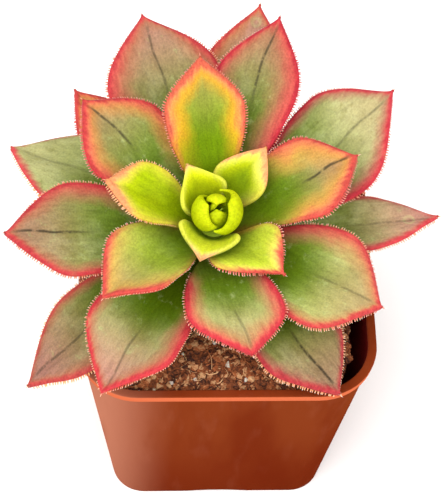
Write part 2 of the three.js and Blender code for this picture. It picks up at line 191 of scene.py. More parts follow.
# How each rosette leaf has coloured. From 0 to 1: lime for the bright green of a young leaf, gold for yellow
# and orange flanks (a leaf without them turns rose), red for the rim, young for how pale the blade is past
# its base, bloom for a grey-pink cast towards the tip, streak for the dark line along the midrib and shade
# for deep green at the base. A young below 0 dulls the outer half of an old leaf instead. onset is where
# along the leaf the margins turn red. right and left are the widths of the flushed band on those sides, in
# millimetres, seen from the stem, and the flush fades out at four such widths.
COLOURING = [
    (1.0, 0.1, 0.1, 1.0, 0.0, 0.0, 0.6, 0.9, 0.4, 0.4),
    (0.9, 0.1, 0.1, 1.0, 0.0, 0.0, 0.0, 0.8, 0.5, 0.5),
    (1.0, 1.0, 0.3, 0.9, 0.0, 0.0, 0.9, 0.6, 1.1, 0.6),
    (1.0, 1.0, 0.35, 0.55, 0.0, 0.0, 0.5, 0.75, 1.0, 1.0),
    (0.8, 0.6, 0.9, 0.8, 0.0, 0.0, 0.5, 0.65, 0.5, 1.0),
    (1.0, 1.0, 0.85, 0.0, 0.5, 0.0, 0.7, 0.5, 1.4, 1.4),
    (0.6, 0.4, 0.85, 0.5, 0.7, 0.0, 0.4, 0.65, 1.4, 1.4),
    (0.5, 0.55, 0.9, 0.2, 0.9, 1.0, 0.9, 0.5, 1.6, 1.9),
    (0.1, 0.4, 1.0, 0.1, 0.6, 0.9, 0.6, 0.4, 1.4, 1.5),
    (0.1, 0.1, 0.9, 0.8, 0.5, 0.5, 0.8, 0.4, 1.2, 1.4),
    (0.0, 0.1, 1.0, 0.0, 0.7, 0.9, 0.5, 0.2, 2.2, 1.2),
    (0.0, 0.1, 0.7, -0.3, 0.8, 1.0, 0.6, 0.2, 1.4, 0.8),
    (0.2, 0.1, 0.7, 0.6, 0.6, 0.5, 0.9, 0.2, 0.7, 1.5),
    (0.0, 0.1, 0.7, 0.2, 0.9, 0.7, 0.3, 0.2, 1.3, 1.9),
    (0.0, 0.1, 0.8, 0.9, 1.0, 0.6, 1.0, 0.2, 0.8, 1.3),
    (0.0, 0.0, 0.8, 1.0, 0.5, 0.6, 0.2, 0.2, 1.1, 0.8),
    (0.0, 0.0, 0.3, 0.8, 0.3, 0.4, 0.3, 0.3, 0.2, 0.4),
    (0.0, 0.0, 0.5, -0.9, 0.75, 1.0, 1.0, 0.3, 0.8, 0.6),
    (0.0, 0.2, 0.7, 0.2, 1.0, 0.0, 0.0, 0.2, 1.2, 1.2),
    (0.0, 0.1, 0.3, -0.7, 1.0, 0.7, 0.9, 0.2, 0.7, 0.8),
    (0.0, 0.0, 0.5, 0.8, 1.0, 0.5, 0.1, 0.3, 0.6, 0.4),
    (0.0, 0.5, 1.0, 0.0, 0.6, 0.0, 0.0, 0.2, 1.3, 1.1),
]
BUD_COLOURING = (1.0, 0.0, 0.0, 0.7, 0.0, 0.0, 0.2, 1.2, 0.3, 0.3)

# How high above its crown the stem ends, in millimetres: where the first rosette leaf stands
STEM_TOP = LEAF_STEP * (len(ROSETTE) - 1)

# Sockets of Blender's Mix node for colours, and the settings of a smooth rise and of a product held to 0 to 1
MIX_SHARE = 0
MIX_BELOW = 6
MIX_ABOVE = 7
MIX_COLOUR = 2
SMOOTH = {"interpolation_type": "SMOOTHSTEP"}
TIMES = {"operation": "MULTIPLY", "use_clamp": True}


def linear(colour):
    """An sRGB hex value such as #9a4526 as linear red, green, blue and alpha."""
    parts = [int(colour[i:i + 2], 16) / 255 for i in (1, 3, 5)]
    return [p / 12.92 if p <= 0.04045 else ((p + 0.055) / 1.055) ** 2.4 for p in parts] + [1.0]


def angle_property(name, description, degrees):
    return bpy.props.FloatProperty(
        name=name, description=description, default=math.radians(degrees), subtype="ANGLE"
    )


def count_property(name, description, default):
    return bpy.props.IntProperty(name=name, description=description, default=default, min=0)


def power_property(name, description, default):
    return bpy.props.FloatProperty(name=name, description=description, default=default, unit="POWER")


def colour_property(name, description, colour):
    return bpy.props.FloatVectorProperty(
        name=name, description=description, default=linear(colour), size=4, subtype="COLOR", min=0, max=1
    )


def length_property(name, description, default):
    return bpy.props.FloatProperty(
        name=name, description=description, default=default, min=0, subtype="DISTANCE", unit="LENGTH"
    )


class AeoniumPotSettings(bpy.types.PropertyGroup):
    wall: length_property("Wall", "Thickness of the moulded wall", 1.1 * MM)
    floor: length_property("Floor", "Thickness of the moulded floor", 1.5 * MM)
    lip_height: length_property("Lip height", "Height of the rolled lip", 2.2 * MM)
    lip_out: length_property("Lip", "How far the lip stands out of the wall", 0.5 * MM)
    colour: colour_property("Plastic", "Terracotta-coloured polypropylene", "#7a3417")
    # Besides clouds and stains, the dark colour paints shade towards the base and on the lip's top
    dark: colour_property("Shaded plastic", "Where the plastic is deeper in colour", "#661f0a")
    # Over the left side the dust colour is a painted highlight
    dust: colour_property("Dust", "The chalky film of dried water and dust", "#b07058")
    # The lip colour is a painted highlight on the lip's side
    lip: colour_property("Lip", "The lip, rubbed clean", "#c66440")
    # The inner wall's darker colour is painted shade inside the pot
    inside: colour_property("Inner wall", "The damp, soil-stained inner wall", "#6c0a0a")


class AeoniumSoilSettings(bpy.types.PropertyGroup):
    crumbs: count_property("Crumbs", "Lumps of peat dropped on the surface", 4800)
    fibres: count_property("Fibres", "Loose coir fibres dropped on the surface", 1500)
    grains: count_property("Perlite", "Grains of perlite dropped on the surface", 85)
    # This dark colour is the wet peat's own, and where the plug shows between crumbs it is also painted shade
    dark: colour_property("Wet peat", "Peat in the gaps", "#3c1808")
    middle: colour_property("Peat", "Crumbs of peat", "#a0562a")
    light: colour_property("Dry fibre", "The palest fibres", "#d8a878")
    perlite: colour_property("Perlite", "Expanded volcanic glass, dusted by peat", "#d8cdbf")


class AeoniumLeafSettings(bpy.types.PropertyGroup):
    lash_length: length_property("Lash length", "Length of a full lash on the margin", 0.36 * MM)
    lash_spacing: length_property("Lash spacing", "Distance between two lashes", 0.5 * MM)
    lime: colour_property("Young green", "Flesh at a young leaf's base", "#8cac04")
    lemon: colour_property("Lemon", "Flesh of a young leaf in full light", "#d6da14")
    green: colour_property("Mature green", "Flesh of the outer leaves", "#7a903c")
    pale: colour_property("Pale green", "Lighter blades and patches of the outer leaves", "#b4c07e")
    deep: colour_property("Deep green", "Shaded flesh at a leaf's base", "#587404")
    gold: colour_property("Gold", "Flanks of the sunlit leaves", "#e6a628")
    dusk: colour_property("Dusty pink", "Where an old leaf's flush fades into green", "#aa6856")
    cream: colour_property("Cream", "Margins of the youngest leaves", "#e0e066")
    peach: colour_property("Peach", "Flushed tips of the youngest leaves", "#f0b878")
    coral: colour_property("Coral", "The band inside a sunlit margin", "#f08258")
    rose: colour_property("Rose", "The band inside an old leaf's margin", "#c84c4c")
    crimson: colour_property("Crimson", "The rim itself", "#bc2a3c")
    bloom: colour_property("Bloom", "Grey-pink cast of old leaves", "#b47a70")
    streak: colour_property("Streak", "The dark line along the midrib", "#3a3326")
    back: colour_property("Underside", "The underside's duller flesh", "#93965a")
    lash: colour_property("Lashes", "The clear hairs of the fringe", "#f2cab0")


class AeoniumStageSettings(bpy.types.PropertyGroup):
    azimuth: angle_property("Azimuth", "Camera's turn round the pot", -6)
    elevation: angle_property("Elevation", "Camera's height above the horizon", 59)
    roll: angle_property("Roll", "Camera's roll", 5)
    distance: length_property("Distance", "From the camera to the middle of the rim", 395 * MM)
    floor: colour_property("Floor", "Pale matt paper", "#fbf9f7")
    key: power_property("Key light", "Softbox on the left", 11.5)
    fill: power_property("Fill light", "Softbox on the right", 4)


def add_node(tree, kind, sockets=(), **settings):
    """Adds a shader node with its settings.

    sockets gives its inputs in order, or by name or number, each as a value, as the output that feeds it, or
    as the node whose first output feeds it.
    """
    node = tree.nodes.new(f"ShaderNode{kind}")
    for name, value in settings.items():
        setattr(node, name, value)
    for key, value in sockets.items() if isinstance(sockets, dict) else enumerate(sockets):
        if isinstance(value, bpy.types.Node):
            value = value.outputs[0]
        if isinstance(value, bpy.types.NodeSocket):
            tree.links.new(value, node.inputs[key])
        else:
            node.inputs[key].default_value = value
    return node


def make_material(name, finish, *details):
    """A material whose surface shader has the inputs that finish returns.

    finish is given the function that adds a node to the material, and the details.
    """
    material = bpy.data.materials.new(name)
    material.use_nodes = True
    material.node_tree.nodes.clear()
    add = partial(add_node, material.node_tree)
    add("OutputMaterial", [add("BsdfPrincipled", finish(add, *details))])
    return material


def painted(add, ground, *layers):
    """A ground colour with layers over it.

    Each layer is a colour, and the shares whose product is how far it covers what is below.
    """
    paint = ground
    for colour, cover, *shares in layers:
        for share in shares:
            cover = add("Math", [cover, share], **TIMES)
        sockets = {MIX_SHARE: cover, MIX_BELOW: paint, MIX_ABOVE: colour}
        paint = add("Mix", sockets, data_type="RGBA").outputs[MIX_COLOUR]
    return paint


def deselect():
    """Nothing selected and nothing active, in object mode."""
    bpy.ops.object.select_all(action="DESELECT")
    bpy.context.view_layer.objects.active = None


def take(obj):
    """Makes obj the only selected object and the active one."""
    deselect()
    obj.select_set(True)
    bpy.context.view_layer.objects.active = obj


def apply_modifier(obj, kind, **settings):
    """Adds a modifier with its settings and applies it."""
    take(obj)
    modifier = obj.modifiers.new(kind.title(), kind)
    for name, value in settings.items():
        setattr(modifier, name, value)
    bpy.ops.object.modifier_apply(modifier=modifier.name)


def add_object(name, data):
    """Adds an object with its mesh, lamp or camera."""
    obj = bpy.data.objects.new(name, data)
    bpy.context.collection.objects.link(obj)
    return obj


def resize_across(share, centre):
    """Resizes what is selected about a centre, and keeps its height."""
    bpy.ops.transform.resize(value=(share, share, 1), center_override=centre)


def cut_across(height):
    """Cuts the whole mesh in edit mode at one height, and leaves the cut selected."""
    bpy.ops.mesh.select_all(action="SELECT")
    bpy.ops.mesh.bisect(plane_co=(0, 0, height), plane_no=(0, 0, 1))


def settle(obj, material_slot, *nodes):
    """Rides a finished piece on the pot's body, in place of the CAD nodes that it stands for."""
    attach(obj, "root")
    if nodes:
        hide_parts(*nodes)


def smooth_step(x, low, high):
    share = np.clip((x - low) / (high - low), 0, 1)
    return share * share * (3 - 2 * share)


def select(mesh, kind, chosen):
    """Selects just the vertices, edges or faces that chosen says, for the next edit-mode operator."""
    bpy.ops.object.mode_set(mode="EDIT")
    bpy.ops.mesh.select_mode(type=kind)
    bpy.ops.mesh.select_all(action="DESELECT")
    bpy.ops.object.mode_set(mode="OBJECT")
    for item in {"VERT": mesh.vertices, "EDGE": mesh.edges, "FACE": mesh.polygons}[kind]:
        item.select = chosen(item)
    bpy.ops.object.mode_set(mode="EDIT")


def pot_plastic(add, settings):
    """Injection-moulded polypropylene: satin, clouded by handling, chalky where water has dried."""
    place = add("TexCoord").outputs["Object"]
    upright = add("Mapping", {"Vector": place, "Scale": (1, 1, 0.2)})
    # Clouds about 9 mm across and taller than wide, smears of 3 mm, and grain of 0.6 mm
    cloud = add("TexNoise", {"Vector": upright, "Scale": 1 / (9 * MM), "Detail": 3})
    smear = add("TexNoise", {"Vector": upright, "Scale": 1 / (3 * MM), "Detail": 4})
    grain = add("TexNoise", {"Vector": place, "Scale": 1 / (0.6 * MM), "Detail": 2})
    clouded = add("MapRange", [cloud, 0.42, 0.72, 0, 0.65], **SMOOTH)
    smeared = add("MapRange", [smear, 0.5, 0.8, 0, 0.07], **SMOOTH)
    # Painted highlight: dust patches thicker over the left side. Painted shade: darker towards the base
    across, _, height = add("SeparateXYZ", [place]).outputs
    painted_highlight_left = add("MapRange", [across, -9 * MM, -26 * MM, 0, 0.95], **SMOOTH)
    patches = add("MapRange", [cloud, 0.1, 0.45], **SMOOTH)
    painted_shade_low = add("MapRange", [height, 40 * MM, 4 * MM, 0, 0.7], **SMOOTH)
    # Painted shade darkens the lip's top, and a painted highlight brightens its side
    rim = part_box("pot")[1].z
    lip_foot = rim - settings.lip_height
    painted_shade_rim_top = add("MapRange", [height, rim - 0.2 * MM, rim - 0.05 * MM, 0, 0.4], **SMOOTH)
    over_foot = add("MapRange", [height, lip_foot - 0.1 * MM, lip_foot + 0.2 * MM], **SMOOTH)
    under_top = add("MapRange", [height, rim - 0.05 * MM, rim - 0.3 * MM], **SMOOTH)
    paint = painted(
        add, settings.colour,
        (settings.dark, clouded),
        (settings.dark, painted_shade_low),
        (settings.dust, smeared),
        (settings.dust, painted_highlight_left, patches),
        (settings.dark, painted_shade_rim_top),
        (settings.lip, over_foot, under_top),
    )
    rough = add("MapRange", [smear, 0, 1, 0.45, 0.65])
    bump = add("Bump", {"Height": grain, "Strength": 0.12, "Distance": 0.1 * MM})
    return {"Base Color": paint, "Roughness": rough, "Normal": bump, "IOR": 1.49, "Specular IOR Level": 0.0}


def stained_plastic_in_shade(add, settings):
    """The same plastic inside the pot, stained by damp soil, and darker all over as painted shade."""
    place = add("TexCoord").outputs["Object"]
    # Stains about 4 mm across
    stain = add("TexNoise", {"Vector": place, "Scale": 1 / (4 * MM), "Detail": 5})
    stained = add("MapRange", [stain, 0.5, 0.75, 0, 0.5], **SMOOTH)
    paint = painted(add, settings.inside, (settings.dark, stained))
    return {"Base Color": paint, "Roughness": 0.4, "IOR": 1.49}


def peat(add, settings, low, high, top):
    """Milled peat with coir: matt, crumbly, nearly black in the gaps and tan where fibres have dried.

    Its shade passes from dark at low to the middle colour at high, and to light at top.
    """
    place = add("TexCoord").outputs["Object"]
    tone = add("Attribute", attribute_name="tone").outputs["Fac"]
    # Lumps 2.2 mm across, and fibres 0.4 mm wide
    lump = add("TexNoise", {"Vector": place, "Scale": 1 / (2.2 * MM), "Detail": 6})
    fibre = add("TexNoise", {"Vector": place, "Scale": 1 / (0.4 * MM), "Detail": 3})
    mixed = add("Math", [lump, fibre], operation="ADD")
    shade = add("Math", [mixed, tone], operation="ADD")
    to_middle = add("MapRange", [shade, low, high])
    to_light = add("MapRange", [shade, high, top])
    paint = painted(add, settings.dark, (settings.middle, to_middle), (settings.light, to_light))
    bump = add("Bump", {"Height": mixed, "Strength": 0.8, "Distance": 0.4 * MM})
    return {"Base Color": paint, "Roughness": 0.9, "Normal": bump}


def perlite_glass(add, settings):
    """Expanded perlite: brittle white foam with pits, brown where peat dust has settled."""
    place = add("TexCoord").outputs["Object"]
    # Dust in patches of 0.9 mm, and pits 0.5 mm apart
    dust = add("TexNoise", {"Vector": place, "Scale": 1 / (0.9 * MM), "Detail": 4})
    pits = add("TexVoronoi", {"Vector": place, "Scale": 1 / (0.5 * MM)})
    dusted = add("MapRange", [dust, 0.48, 0.7, 0, 0.6], **SMOOTH)
    paint = painted(add, settings.perlite, (settings.middle, dusted))
    bump = add("Bump", {"Height": pits, "Strength": 0.7, "Distance": 0.2 * MM})
    return {
        "Base Color": paint, "Roughness": 0.7, "Normal": bump,
        "Subsurface Weight": 0.2, "Subsurface Scale": MM,
    }


def stem_bark(add):
    """Young bark: dull green-brown skin, ringed by the scars of fallen leaves, and fresh green at the top."""
    place = add("TexCoord").outputs["Object"]
    # Patches 1.5 mm across
    patch = add("TexNoise", {"Vector": place, "Scale": 1 / (1.5 * MM), "Detail": 5})
    corky = add("MapRange", [patch, 0.4, 0.65])
    height = add("SeparateXYZ", [place]).outputs["Z"]
    fresh = add("MapRange", [height, 62 * MM, 68 * MM], **SMOOTH)
    paint = painted(add, linear("#8c8a4e"), (linear("#6b4a2c"), corky), (linear("#9cb41e"), fresh))
    bump = add("Bump", {"Height": patch, "Strength": 0.6, "Distance": 0.3 * MM})
    return {"Base Color": paint, "Roughness": 0.75, "Normal": bump}


def leaf_flesh(add, settings):
    """Water-filled leaf flesh under a thin waxy skin: satin, a little translucent, coloured by the sun."""
    flat = add("Attribute", attribute_name="flat").outputs["Vector"]
    edge = add("Attribute", attribute_name="edge").outputs["Fac"]
    stored = [add("Attribute", attribute_name=name).outputs["Vector"] for name in ("sun", "age", "flush")]
    (lime, gold, red), (bloom, streak, shade), (band, cap, young) = [
        add("SeparateXYZ", [row]).outputs for row in stored
    ]

    # Blotches about 6 mm across, mottling of 1 mm drawn out along the leaf, scurf and thin spots of 2.5 mm,
    # and pores 0.35 mm apart
    blotch = add("TexNoise", {"Vector": flat, "Scale": 1 / 6, "Detail": 4})
    drawn = add("Mapping", {"Vector": flat, "Scale": (0.3, 1, 1)})
    mottle = add("TexNoise", {"Vector": drawn, "Scale": 1 / 0.8, "Detail": 3})
    scurf = add("TexNoise", {"Vector": flat, "Scale": 1 / 2.5, "Detail": 6, "Roughness": 0.65})
    pore = add("TexNoise", {"Vector": flat, "Scale": 1 / 0.35, "Detail": 1})

    # Greens: deep at the base, brighter past it and paler in patches. A grown leaf has scurf and thin spots.
    patch = add("MapRange", [blotch, 0.45, 0.68, 0, 0.6], **SMOOTH)
    young_colour = painted(add, settings.pale, (settings.lemon, lime))
    cloudy = add("MapRange", [blotch, 0.3, 0.6, 0.6, 1])
    grown = add("Math", [1, lime], operation="SUBTRACT")
    thin = add("MapRange", [scurf, 0.48, 0.32, 0, 0.45], **SMOOTH)
    waxy = add("MapRange", [scurf, 0.56, 0.72, 0, 0.5], **SMOOTH)

    # The flush grows towards the margin: 1 at the rim, 0 at four widths of the band inside it. Blotches make
    # the band wander, mottling frays it, and the cap holds it back near the base.
    wander = add("MapRange", [blotch, 0.3, 0.7, 1.25, 0.75])
    wandering = add("Math", [edge, wander], operation="MULTIPLY")
    fray = add("MapRange", [mottle, 0.3, 0.7, -0.25, 0.25])
    depth = add("Math", [wandering, fray], operation="ADD")
    widths = add("Math", [depth, band], operation="DIVIDE")
    nearness = add("MapRange", [widths, 4, 0])
    flush = add("Math", [nearness, cap], **TIMES)
    halo = add("MapRange", [flush, 0, 0.72, 0, 0.9], **SMOOTH)
    zone = add("MapRange", [flush, 0.48, 0.92, 0, 0.95], **SMOOTH)
    at_rim = add("MapRange", [depth, 1.3, 0.35, 0, 0.95], **SMOOTH)

    # It fades through dusty pink, gold or cream, and its band and rim differ from leaf to leaf as well
    not_red = add("Math", [1, red], operation="SUBTRACT")
    halo_colour = painted(add, settings.dusk, (settings.gold, gold), (settings.cream, lime, young))
    band_colour = painted(add, settings.rose, (settings.coral, gold), (settings.peach, lime, not_red))
    rim_colour = painted(add, settings.crimson, (settings.coral, gold, 0.35))

    # Dark red dots 0.9 mm apart stand in the rim, between the lashes
    dots = add("TexVoronoi", {"Vector": flat, "Scale": 1 / 0.9})
    dot = add("MapRange", [dots, 0.3, 0.12, 0, 0.6], **SMOOTH)
    outermost = add("MapRange", [edge, 1.2, 0.7], **SMOOTH)

    # The dark line along the midrib is 0.5 mm wide, wavers over 9 mm and breaks up where scurf covers it
    sway = add("TexNoise", {"Vector": flat, "Scale": 1 / 9, "Detail": 0})
    waver = add("MapRange", [sway, 0.3, 0.7, -0.4, 0.4])
    sideways = add("SeparateXYZ", [flat]).outputs["Y"]
    offset = add("Math", [sideways, waver], operation="ADD")
    beside = add("Math", [offset], operation="ABSOLUTE")
    frayed = add("Math", [mottle, -0.6, beside], operation="MULTIPLY_ADD")
    line = add("MapRange", [frayed, 0.15, -0.25, 0, 0.85], **SMOOTH)
    bare = add("MapRange", [scurf, 0.36, 0.5], **SMOOTH)

    # Rings left by dried drops, on some of the cells of a 7 mm pattern
    drops = add("TexVoronoi", {"Vector": flat, "Scale": 1 / 7})
    outside = add("MapRange", [drops, 0.12, 0.17], **SMOOTH)
    inside = add("MapRange", [drops, 0.23, 0.18], **SMOOTH)
    cell = add("SeparateXYZ", [drops.outputs["Color"]]).outputs["X"]
    some = add("MapRange", [cell, 0.6, 0.7, 0, 0.35], **SMOOTH)

    paint = painted(
        add, settings.green,
        (settings.pale, patch),
        (settings.lime, lime),
        (young_colour, young, cloudy),
        (settings.deep, shade),
        (settings.deep, thin, grown),
        (settings.bloom, bloom),
        (settings.pale, waxy, grown),
        (halo_colour, halo),
        (band_colour, zone),
        (rim_colour, at_rim, red, cap),
        (settings.crimson, dot, outermost, at_rim, red, cap),
        (settings.pale, outside, inside, some, bloom),
        (settings.streak, line, streak, bare),
    )
    grain = add("Math", [mottle, pore], operation="ADD")
    light = add("MapRange", [grain, 0.7, 1.3, 0.62, 0.93])
    lifted = add("Math", [young, 0.13, light], operation="MULTIPLY_ADD")
    toned = add("HueSaturation", {"Color": paint, "Value": lifted})
    rough = add("MapRange", [blotch, 0, 1, 0.4, 0.62])
    bump = add("Bump", {"Height": grain, "Strength": 0.25, "Distance": 0.12 * MM})
    return {
        "Base Color": toned, "Roughness": rough, "Normal": bump, "IOR": 1.4, "Specular IOR Level": 0.06,
        "Subsurface Weight": 0.15, "Subsurface Radius": (1.0, 0.7, 0.25), "Subsurface Scale": 0.9 * MM,
    }


def leaf_back(add, settings):
    """The underside's skin: duller, greener, and rosy towards the margin."""
    flat = add("Attribute", attribute_name="flat").outputs["Vector"]
    edge = add("Attribute", attribute_name="edge").outputs["Fac"]
    sun = add("Attribute", attribute_name="sun").outputs["Vector"]
    lime, _, red = add("SeparateXYZ", [sun]).outputs
    # Blotches about 4 mm across
    blotch = add("TexNoise", {"Vector": flat, "Scale": 1 / 4, "Detail": 4})
    blotched = add("MapRange", [blotch, 0.4, 0.7, 0, 0.6], **SMOOTH)
    near_margin = add("MapRange", [edge, 3.0, 0.4], **SMOOTH)
    layers = [(settings.bloom, blotched), (settings.lime, lime, 0.8), (settings.rose, near_margin, red)]
    paint = painted(add, settings.back, *layers)
    bump = add("Bump", {"Height": blotch, "Strength": 0.2, "Distance": 0.3 * MM})
    return {
        "Base Color": paint, "Roughness": 0.5, "Normal": bump, "IOR": 1.4,
        "Subsurface Weight": 0.2, "Subsurface Radius": (1.0, 0.7, 0.25), "Subsurface Scale": 0.9 * MM,
    }


def lash_hair(add, settings):
    """The stiff hairs of the margin: red flesh at the foot, and clear towards the point."""
    up = add("Attribute", attribute_name="edge").outputs["Fac"]
    sun = add("Attribute", attribute_name="sun").outputs["Vector"]
    red = add("SeparateXYZ", [sun]).outputs["Z"]
    clear = add("MapRange", [up, -0.2, 0.9, 0, 0.9], **SMOOTH)
    paint = painted(add, settings.peach, (settings.rose, red), (settings.lash, clear))
    return {"Base Color": paint, "Roughness": 0.35, "Subsurface Weight": 0.4, "Subsurface Scale": 0.5 * MM}


def matt_paper(add, settings):
    """Uncoated paper: pale and matt."""
    return {"Base Color": settings.floor, "Roughness": 0.9}


def slope_at(leaf, s):
    """The midrib's slope at a share of its length, in radians."""
    return np.radians(leaf["rise"] + (leaf["fall"] - leaf["rise"]) * s ** leaf["late"])


def midrib_at(leaf, s):
    """The midrib's distance out and up at a share of its length, in millimetres."""
    steps = 400
    marks = np.linspace(0, 1, steps + 1)
    slope = slope_at(leaf, (marks[1:] + marks[:-1]) / 2)
    out = np.concatenate([[0], np.cumsum(np.cos(slope))]) * leaf["length"] / steps
    up = np.concatenate([[0], np.cumsum(np.sin(slope))]) * leaf["length"] / steps
    return np.interp(s, marks, out), np.interp(s, marks, up)


def half_width_at(leaf, s):
    """Half the blade's width at a share of its length: narrow at the base and pointed."""
    before = np.clip(s / leaf["widest"], 0, 1)
    past = np.clip((s - leaf["widest"]) / (1 - leaf["widest"]), 0, 1)
    swell = leaf["neck"] + (1 - leaf["neck"]) * np.sin(np.pi / 2 * before) ** 1.6
    return leaf["half"] * swell * (1 - past ** leaf["blunt"]) * (1 - 0.25 * past * past)


def thickness_at(leaf, s, u):
    """The blade's thickness: fleshy along the midrib and thin at the margins and the tip."""
    along = 0.35 + 0.65 * np.sin(np.pi * s ** 0.8)
    tip = 1 - 0.8 * smooth_step(s, *THIN_SPAN)
    margin = EDGE_THICKNESS * (1 - 0.6 * smooth_step(s, 0.88, 1))
    if "ball" in leaf:
        margin = margin * (1 - 0.5 * smooth_step(np.abs(u), 0.7, 1))
    return margin + leaf["half"] * leaf["flesh"] * along * tip * (1 - np.abs(u) ** 2.2)


def blade_at(leaf, s, u, depth=0):
    """A point of the blade: s runs from base to tip, u from the right margin, -1, to the left one, 1."""
    out, up = midrib_at(leaf, s)
    slope = slope_at(leaf, s)
    width = half_width_at(leaf, s)
    cup = math.radians(leaf["cup"]) * (1 - leaf["open"] * smooth_step(s, *OPEN_SPAN))
    radius = leaf.get("ball", width / cup)
    arc = width / leaf["ball"] if "ball" in leaf else cup
    rolled = leaf["roll"] * leaf["half"] * smooth_step(s, *ROLL_SPAN)
    side = (radius + depth) * np.sin(arc * u)
    lift = radius - (radius + depth) * np.cos(arc * u) - rolled * np.abs(u) ** 3
    turn = math.radians(leaf["twist"]) * s
    side, lift = side * np.cos(turn) - lift * np.sin(turn), side * np.sin(turn) + lift * np.cos(turn)
    bend = math.radians(leaf["bend"]) * leaf["length"] * s * s / 2
    x = leaf["seat"] + out - np.sin(slope) * lift
    y = side + bend
    z = up + np.cos(slope) * lift
    return np.stack(np.broadcast_arrays(x, y, z), axis=-1)


def leaf_place(leaf, rank):
    """A leaf's place on the spiral, in metres. Rank 0 is the first rosette leaf, and the bud is below 0."""
    bud = BUD_LIFT + BUD_STEP * (-1 - rank)
    height = STEM_TOP + bud if rank < 0 else LEAF_STEP * (len(ROSETTE) - 1 - rank)
    lift = Matrix.Translation((0, 0, height * MM))
    azimuth = math.radians(FIRST_AZIMUTH + GOLDEN_ANGLE * rank + leaf["turn"])
    return CROWN @ lift @ Matrix.Rotation(azimuth, 4, "Z") @ Matrix.Scale(MM, 4)


def lay_out(points, place):
    """Points in a leaf's millimetres, moved to its place in metres."""
    turned = np.array(place)
    return points @ turned[:3, :3].T + turned[:3, 3]


def store(mesh, name, values):
    """Stores a number or a row of three for each vertex, as a named attribute."""
    kind, field = ("FLOAT_VECTOR", "vector") if values.ndim == 2 else ("FLOAT", "value")
    attribute = mesh.attributes.new(name, kind, "POINT")
    attribute.data.foreach_set(field, np.ascontiguousarray(values, dtype=np.float32).ravel())


def relief_at(leaf, s, u, rank):
    """How far the skin swells out of the surface, in mm: a groove, a pillow each side, a wavy margin."""
    width = half_width_at(leaf, s)
    # A leaf of full width swells in full
    full_half = 8
    size = leaf["relief"] * min(1, leaf["half"] / full_half)
    groove_half = 0.9
    groove = -0.4 * np.exp(-((u * width / groove_half) ** 2)) * smooth_step(s, 0.15, 0.5)
    pillow = 1.4 * u * u * (1 - u * u) * smooth_step(s, 0.2, 0.5)
    phase = 2.4 * rank + np.sign(u)
    wave = 0.16 * np.abs(u) ** 3 * np.sin(s * leaf["length"] * 0.8 + phase) * smooth_step(s, 0.3, 0.5)
    return size * (groove + pillow + wave) * (1 - smooth_step(s, 0.9, 1))


def store_colouring(mesh, colouring, s, u, edge):
    """Stores what the leaf's materials read at each vertex."""
    lime, gold, red, young, bloom, streak, shade, onset, right, left = colouring
    store(mesh, "sun", np.tile((lime, gold, red), (len(s), 1)))
    # The cast grows over the outer half, the line ends before the tip, and the shade reaches furthest along
    # the midrib
    cast = bloom * smooth_step(s, 0.45, 0.95) * 0.9
    line = streak * smooth_step(s, 0.5, 0.7) * (1 - smooth_step(s, 0.9, 0.98))
    base = shade * (1 - smooth_step(s - 0.35 * (1 - np.abs(u)), 0.15, 0.6)) * 0.95
    store(mesh, "age", np.stack([cast, line, base], 1))
    # Towards a sunlit tip the whole width counts as margin
    store(mesh, "edge", edge * (1 - 0.7 * gold ** 3 * smooth_step(s, 0.85 - 0.15 * np.abs(u), 1)))
    # The band is narrower near the base, and near the tip of a leaf with bloom
    side = smooth_step(u, -0.6, 0.6)
    band = (right * (1 - side) + left * side) * (0.6 + 0.4 * smooth_step(s, 0.2, 0.6))
    band = band * (1 - 0.5 * bloom * smooth_step(s, 0.7, 0.95))
    # A bright leaf has a little flush before its onset too
    least = 0.35 * max(gold, lime) * (onset <= 1)
    cap = least + (1 - least) * smooth_step(s, onset - 0.15, onset + 0.1)
    # A young leaf is bright nearly from its base, and an old one past its middle
    start = 0.5 - 0.45 * lime
    brightness = young * smooth_step(s, start, start + 0.3)
    store(mesh, "flush", np.stack([band, cap, brightness], 1))


def make_blade(name, leaf, rank, colouring, materials):
    """One leaf's blade: a grid laid on the leaf's surface, given its thickness and rounded margins."""
    deselect()
    bpy.ops.mesh.primitive_grid_add(x_subdivisions=BLADE_ROWS, y_subdivisions=BLADE_COLUMNS, size=2)
    obj = bpy.context.object
    obj.name = name
    mesh = obj.data
    grid = np.zeros(len(mesh.vertices) * 3)
    mesh.vertices.foreach_get("co", grid)
    grid = grid.reshape(-1, 3)
    # Closer rows towards the tip and the margins, where the blade turns most
    s = 1 - (1 - (grid[:, 0] + 1) / 2) ** 1.25
    u = grid[:, 1] * (1.25 - 0.25 * grid[:, 1] ** 2)
    top = blade_at(leaf, s, u, -relief_at(leaf, s, u, rank))
    mesh.vertices.foreach_set("co", lay_out(top, leaf_place(leaf, rank)).ravel())

    # The skin's pattern, and the distance to the margin across its slant, take the tip as a small step wide
    tip_half = 0.12
    width = np.maximum(half_width_at(leaf, s), tip_half)
    near = 0.002
    slant = (half_width_at(leaf, s + near) - half_width_at(leaf, s - near)) / (2 * near * leaf["length"])
    edge = (1 - np.abs(u)) * width / np.sqrt(1 + slant ** 2)
    store_colouring(mesh, colouring, s, u, edge)
    store(mesh, "flat", np.stack([s * leaf["length"], u * width, np.full(len(s), PATTERN_STEP * rank)], 1))

    thickness = thickness_at(leaf, s, u)
    flesh = obj.vertex_groups.new(name="flesh")
    for index, part in enumerate(thickness / thickness.max()):
        flesh.add([index], float(part), "REPLACE")
    for material in materials:
        mesh.materials.append(material)
    full = float(thickness.max()) * MM
    apply_modifier(obj, "SOLIDIFY", thickness=full, offset=-1, vertex_group="flesh", material_offset=1)
    apply_modifier(obj, "SUBSURF", levels=1, render_levels=1)
    bpy.ops.object.shade_smooth()
    return obj


